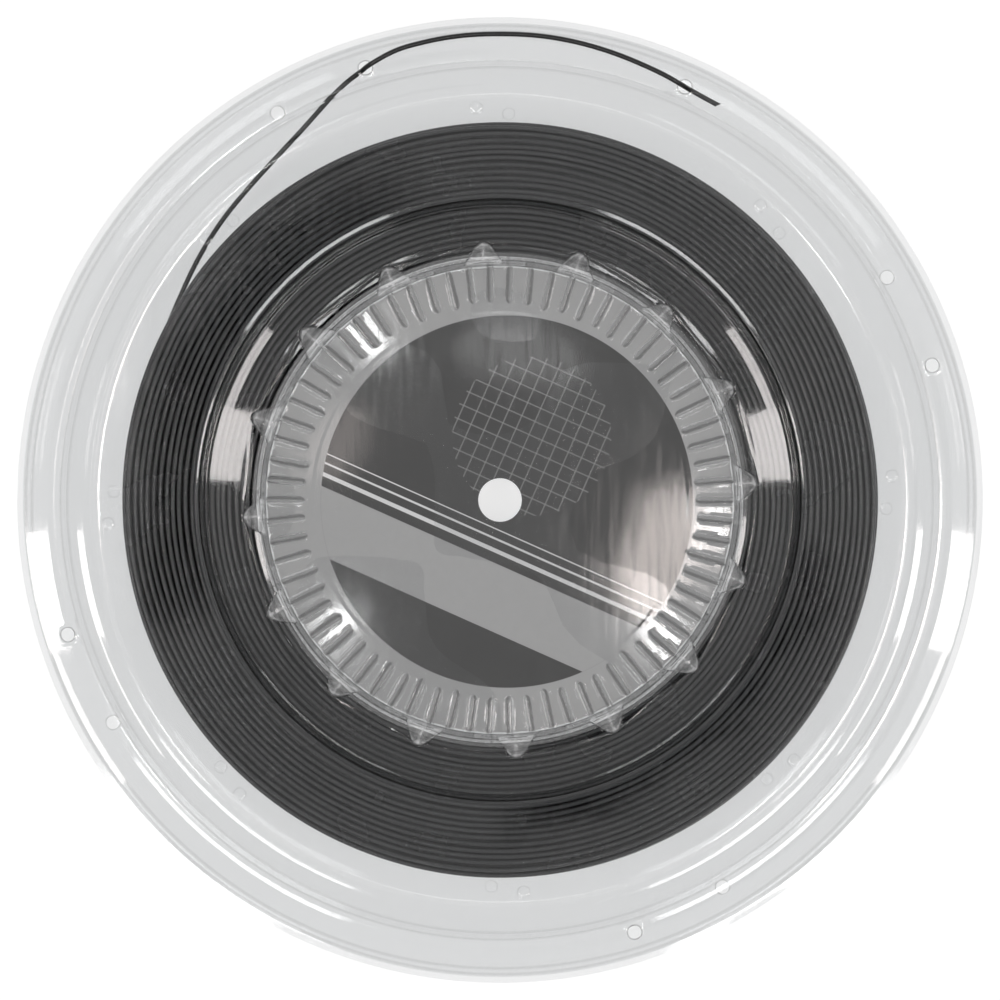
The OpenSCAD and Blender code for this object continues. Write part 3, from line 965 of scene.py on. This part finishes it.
def rib_form(r, a, narrower):
    """How far the ribs lift the sheet at a radius and at angles, and the painted highlight and painted
    shade they put on it.
    """
    pitch = TAU / RIB_N
    number = np.round(a / pitch).astype(int)
    if not RIB_IN_R - RIB_MARGIN < r < RIB_OUT_R + RIB_MARGIN:
        return np.zeros_like(a), np.zeros_like(a)
    keys = ("l", "h", "lean", "shift", "turned", "highlight_strength")
    values = (np.array([rib[key] for rib in RIBS])[number % RIB_N] for key in keys)
    length, height, lean, shift, turned, highlight_strength = values
    start = RIB_OUT_R - RIB_L * length + shift
    t = (r - start) / (RIB_OUT_R - start)
    s = r * (a - number * pitch) - lean * (t - 0.5) * 2
    half = np.maximum(rib_half_width(r, start, RIB_OUT_R) - narrower, 1e-3)
    side = s / half
    bulge = np.clip(1 - side ** 2, 0, 1) ** RIB_ROUNDNESS
    rise = RIB_H * height * bulge * np.minimum(half * RIB_FADE, 1)
    # Painted shade down one side of the rib, and a painted highlight along its other edge.
    dark = stroke(side, -turned * SHADE_AT, SHADE_W)
    pale = stroke(side, turned * HIGHLIGHT_AT, HIGHLIGHT_W) * highlight_strength
    on = (t > 0) & (t < 1)
    return np.where(on, rise, 0), np.where(on, RIB_PAINTED_HIGHLIGHT * pale - RIB_PAINTED_SHADE * dark, 0)


BELL_POWER = 2.5
LUG_ROUNDNESS = 0.7  # power of its fall towards the tip
# Where a lug's outline and its middle fold are whitened, beside a weaker haze all over it.
OUTLINE_AT, OUTLINE_W = 0.9, 0.08
FOLD_W = 0.35
FOLD_HAZE = 0.6
LUG_PLAIN_HAZE = 0.35


def lug_form(r, a, narrower):
    """How far the draped lugs lift and whiten the sheet. Their outline is a bell with its tip outwards."""
    start = HUB_R - LUG_ROOT
    pitch = TAU / LUG_N
    number = np.round((a - LUG_A) / pitch).astype(int)
    values = (np.array([lug[key] for lug in LUGS])[number % LUG_N] for key in ("h", "lean", "l"))
    height, lean, length = values
    s = r * (a - LUG_A - number * pitch) - lean * (r - start) / LUG_L
    bell = np.exp(-np.abs(s / LUG_W) ** BELL_POWER)
    t = np.clip((r - start) / ((LUG_L * length - narrower) * bell + 0.01), 0, 1)
    gable = np.clip((r - start) / LUG_GABLE_L, 0, 1)
    rise = LUG_H * height * (1 - t * t) ** LUG_ROUNDNESS * np.sqrt(bell) * gable
    outline = stroke(t, OUTLINE_AT, OUTLINE_W) * np.clip(bell * 3 - 0.2, 0, 1)
    fold = FOLD_HAZE * stroke(s, 0, FOLD_W)
    return rise, LUG_HAZE * np.clip(rise, 0, 1) * (LUG_PLAIN_HAZE + outline + fold) * gable


def crease(r, a):
    """How far the floor sinks in a crease that bends out round each lug."""
    cusp = np.abs(np.cos((a - LUG_A) * LUG_N / 2)) ** 3
    wander = 0.3 * np.sin(a * 5 + 1) + 0.25 * np.sin(a * 11 + 2.5)
    away = r - CREASE_R - CREASE_WAVE * (cusp - 0.4 + wander)
    return -CREASE_H * np.exp(-(away / CREASE_W) ** 2)


def ripple(r, a):
    """The sheet's slight unevenness from forming: waves some 40 to 100 mm long."""
    x, y = r * np.cos(a), r * np.sin(a)
    wave = (np.sin(x * 0.071 + 1.1) * np.cos(y * 0.063 - 0.4) + 0.6 * np.sin((x + y) * 0.113 + 2.0)
            + 0.5 * np.cos((x - 1.4 * y) * 0.097))
    return np.where(np.asarray(r) < HUB_FLAT_TO_R, HUB_RIPPLE, RIPPLE) * wave


CREST_KEPT = 2.0  # to each side of the crest ring's middle
RIPPLE_RUN = 4.0  # in which the ripple comes in from there


def held_flat(r):
    """1 where the sheet may ripple, 0 at the crest ring and the edges, which keep their height."""
    from_crest = (abs(r - (CREST_IN_R + CREST_OUT_R) / 2) - CREST_KEPT) / RIPPLE_RUN
    return float(np.clip(min(r - SPINDLE_R, from_crest, FLANGE_R - r), 0, 1))


def ring_columns(r):
    """How many points the ring at a radius has."""
    if r < HALVED_TO_R:
        return COLUMNS // 2
    return 2 * COLUMNS if FINE_FROM_R < r < FINE_TO_R else COLUMNS


COLLAR_SHADED_SPAN = (-0.1, 0.9)  # painted shade on the collar's step: from how far past the hub's edge to how far past the floor's start
LUG_BARE = 0.1  # haze under which a place isn't on a lug


def sheet_haze_and_painted_light(r, counted, rib_painted_light, lug_haze):
    """Whitening above 0 and painted shade below it: ribs (painted highlight and shade), lugs, the collar
    and its step, and the rim's two lines, painted dark.
    """
    haze = rib_painted_light + lug_haze + COLLAR_HAZE * (FLOOR_IN_R < r < FLOOR_IN_R + COLLAR_W)
    # Painted shade on the collar's step, where no lug is.
    in_step = HUB_R + COLLAR_SHADED_SPAN[0] < r < FLOOR_IN_R + COLLAR_SHADED_SPAN[1]
    haze = np.where(lug_haze < LUG_BARE, haze - COLLAR_PAINTED_SHADE * in_step, haze)
    # The rim's two lines, at the band's inner edge and at the lip, are painted shade.
    return haze - RIM_PAINTED_SHADE * (np.isclose(counted, BAND_R) or np.isclose(counted, LIP_R))


def surface_rings(shape, path, radii, narrower):
    """The rings of one face. radii are the outer face's, which both faces count their columns by."""
    rings = []
    for (r, z), counted in zip(path, radii):
        a = column_angles(counted, ring_columns(counted))
        rib, rib_painted_light = rib_form(r, a, narrower)
        lug, lug_haze = lug_form(r, a, narrower)
        lifted = z + rib + lug + crease(r, a) + ripple(r, a) * held_flat(counted)
        points = np.stack([r * np.cos(a), r * np.sin(a), lifted], 1)
        rings.append(shape.add(points, sheet_haze_and_painted_light(r, counted, rib_painted_light, lug_haze)))
    return rings


# The patches that take a hole or a pip out of the rings' grid: how far they reach from its middle, and
# the shares of the way from a patch's edge (0) to the circle (1) and its middle (2) that get a ring.
HOLE_REACH = 2.9
HOLE_SHARES = (0.5, 0.8, 0.88, 0.94, 1.0)
PIP_REACH = 2.4
PIP_SHARES = (0.5, 0.85, 1.0, 1.1, 1.2, 1.3, 1.6, 1.9)
SHADED_SHARE = 0.08  # how near to the circle a ring gets the painted dark outline


def hole_lip(share):
    """Height of the raised edge of a hole."""
    return HOLE_LIP_H * max(0, share - HOLE_LIP_FROM) / (1 - HOLE_LIP_FROM)


def pip_dome(share):
    """Height of a pip over the sheet."""
    return PIP_H * min(1, max(0, share - 1) / PIP_SHOULDER)


def patch_bounds(radii, centre_r, angle, reach):
    """The rings and columns round a hole or a pip."""
    first = int(np.searchsorted(radii, centre_r - reach)) - 1
    last = int(np.searchsorted(radii, centre_r + reach))
    half = math.ceil(reach / (centre_r * TAU / COLUMNS))
    middle = round(angle / TAU * COLUMNS)
    return first, last, middle - half, middle + half


def patches(radii, centre_r, angles, reach):
    """The middle and the bounds of each hole or pip on one circle."""
    return [(centre_r * np.array([math.cos(a), math.sin(a)]), patch_bounds(radii, centre_r, a, reach))
            for a in angles]


def cells_cut(spots):
    """The cells of the rings' grid that the patches replace, by ring."""
    cut = {}
    for _, (i0, i1, k0, k1) in spots:
        for i in range(i0, i1):
            cut.setdefault(i, set()).update(k % COLUMNS for k in range(k0, k1))
    return cut


def loop_of(rings, bounds):
    """The point numbers round a patch, anticlockwise as seen from above."""
    i0, i1, k0, k1 = bounds
    near = [rings[i0][k % COLUMNS] for k in range(k0, k1)]
    right = [rings[i][k1 % COLUMNS] for i in range(i0, i1)]
    far = [rings[i1][k % COLUMNS] for k in range(k1, k0, -1)]
    left = [rings[i][k0 % COLUMNS] for i in range(i1, i0, -1)]
    return (near + right + far + left)[::-1]


def add_patch(shape, loop, path, centre, radius, height, shares, painted_shade):
    """Rings from a patch's edge to a circle and on, lifted by height(share). The last argument darkens the
    circle with painted shade.
    """
    edge = np.array([shape.points[i] for i in loop])
    toward = edge[:, :2] - centre
    angles = np.arctan2(toward[:, 1], toward[:, 0])
    circle = centre + radius * np.stack([np.cos(angles), np.sin(angles)], 1)
    last = loop
    for share in shares:
        if share <= 1:
            flat = edge[:, :2] + (circle - edge[:, :2]) * share
        else:
            flat = centre + (circle - centre) * (2 - share)
        r = np.hypot(flat[:, 0], flat[:, 1])
        a = np.arctan2(flat[:, 1], flat[:, 0])
        held = np.array([held_flat(x) for x in r])
        z = np.interp(r, path[:, 0], path[:, 1]) + ripple(r, a) * held + height(share)
        # Painted shade: a dark ring at the hole's or pip's edge.
        shaded = painted_shade if abs(share - 1) < SHADED_SHARE else 0
        ring = shape.add(np.column_stack([flat, z]), np.full(len(flat), -shaded))
        shape.join(last, ring, flip=True)
        last = ring
    return last


def add_face(shape, path, radii, narrower, holes, pips):
    """One face of the sheet with its holes and pips. Returns its rings and its holes' edges."""
    rings = surface_rings(shape, path, radii, narrower)
    cut = cells_cut(holes + pips)
    for i, (a, b) in enumerate(zip(rings[:-1], rings[1:])):
        before = len(shape.faces)
        shape.join(a, b)
        made = shape.faces[before:]
        shape.faces[before:] = [face for k, face in enumerate(made) if k not in cut.get(i, ())]
    edges = [add_patch(shape, loop_of(rings, bounds), path, centre, HOLE_D / 2, hole_lip, HOLE_SHARES,
                       HOLE_PAINTED_SHADE) for centre, bounds in holes]
    for centre, bounds in pips:
        middle = add_patch(shape, loop_of(rings, bounds), path, centre, PIP_D / 2, pip_dome, PIP_SHARES,
                           PIP_PAINTED_SHADE)
        shape.faces.append(tuple(middle))
    return rings, edges


def placed(points, turned):
    """Puts a half, built over the middle plane, in its place. The rear one is turned over."""
    if turned:
        c, s = math.cos(2 * TURN_OVER_A), math.sin(2 * TURN_OVER_A)
        x, y, z = points.T
        points = np.stack([c * x + s * y, s * x - c * y, -z], 1)
    return points + (0, 0, MID_Z)


def make_shell(name, node, material, hole_angles, turned):
    """One formed half: its two faces a wall apart, joined at the spindle's hole, the rim and the holes."""
    outer = face_path()
    inner = inset(outer, WALL)
    radii = outer[:, 0]
    holes = patches(radii, BAND_R + HOLE_IN, hole_angles, HOLE_REACH)
    pip_angles = [PIP_A + i * TAU / PIP_N for i in range(PIP_N)]
    pips = patches(radii, CREST_IN_R - PIP_INSET, pip_angles, PIP_REACH)
    shape = Shape()
    top, top_edges = add_face(shape, outer, radii, 0.0, holes, pips)
    under = len(shape.faces)
    bottom, bottom_edges = add_face(shape, inner, radii, WALL / 2, holes, pips)
    shape.faces[under:] = [face[::-1] for face in shape.faces[under:]]
    shape.join(bottom[0], top[0])
    shape.join(top[-1], bottom[-1])
    for upper, lower in zip(top_edges, bottom_edges):
        shape.join(upper, lower, flip=True)
    shape.points = placed(np.array(shape.points), turned)
    piece = shape.build(name, material)
    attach(piece, BODY)
    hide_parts(node)


# ======================================== the card
CARD_COLUMNS = 320
CARD_BEVEL = 0.05
CARD_HOLE_R = SPINDLE_R + 0.1


def make_card(printed, plain):
    """The label card, printed in front and plain behind."""
    half = CARD_T / 2
    front = [(CARD_HOLE_R, half - CARD_BEVEL), (CARD_HOLE_R + CARD_BEVEL, half), (CARD_R / 2, half),
             (CARD_R - CARD_BEVEL, half), (CARD_R, half - CARD_BEVEL)]
    outline = front + [(r, -z) for r, z in front[::-1]]
    shape = Shape()
    rings = [add_circle(shape, r, z, CARD_COLUMNS) for r, z in outline]
    for a, b in zip(rings, rings[1:] + rings[:1]):
        shape.join(a, b)
    piece = shape.build("card", printed)
    piece.data.materials.append(plain)
    for polygon in piece.data.polygons:
        polygon.material_index = 0 if polygon.normal.z > 0.5 else 1
    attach(piece, BODY)
    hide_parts("label_card")


# ======================================== the scene
STRING_GREY = 0.034
# Painted shade: the free end is the same string as the coil, given a darker grey.
TAIL_SHADED_GREY = 0.008
UNDER_GREY = 0.006  # darker than the string, as little light gets down to it
FRONT_TINT, FRONT_IOR = (0.885, 0.89, 0.893), 1.57
# Weaker gloss than the front half's, so that the highlights don't all show twice.
REAR_TINT, REAR_IOR = (0.865, 0.87, 0.873), 1.3

add_camera()
make_free_end(string_material("string_end_shaded", TAIL_SHADED_GREY))
make_wound_string(string_material("string", STRING_GREY))
make_inner_layers(string_material("string_under", UNDER_GREY))
make_card(card_material("card_print", True), card_material("card_back", False))
rim_holes = [HOLE_A + i * TAU / HOLE_N for i in range(HOLE_N)]
make_shell("front_shell", "front_flange",
           clear_material("clear_front", FRONT_TINT, FRONT_IOR), rim_holes + [LACE_A], turned=False)
make_shell("rear_shell", "rear_flange",
           clear_material("clear_rear", REAR_TINT, REAR_IOR), rim_holes, turned=True)
add_floor()
add_light()
bpy.context.scene.view_settings.view_transform = "Standard"
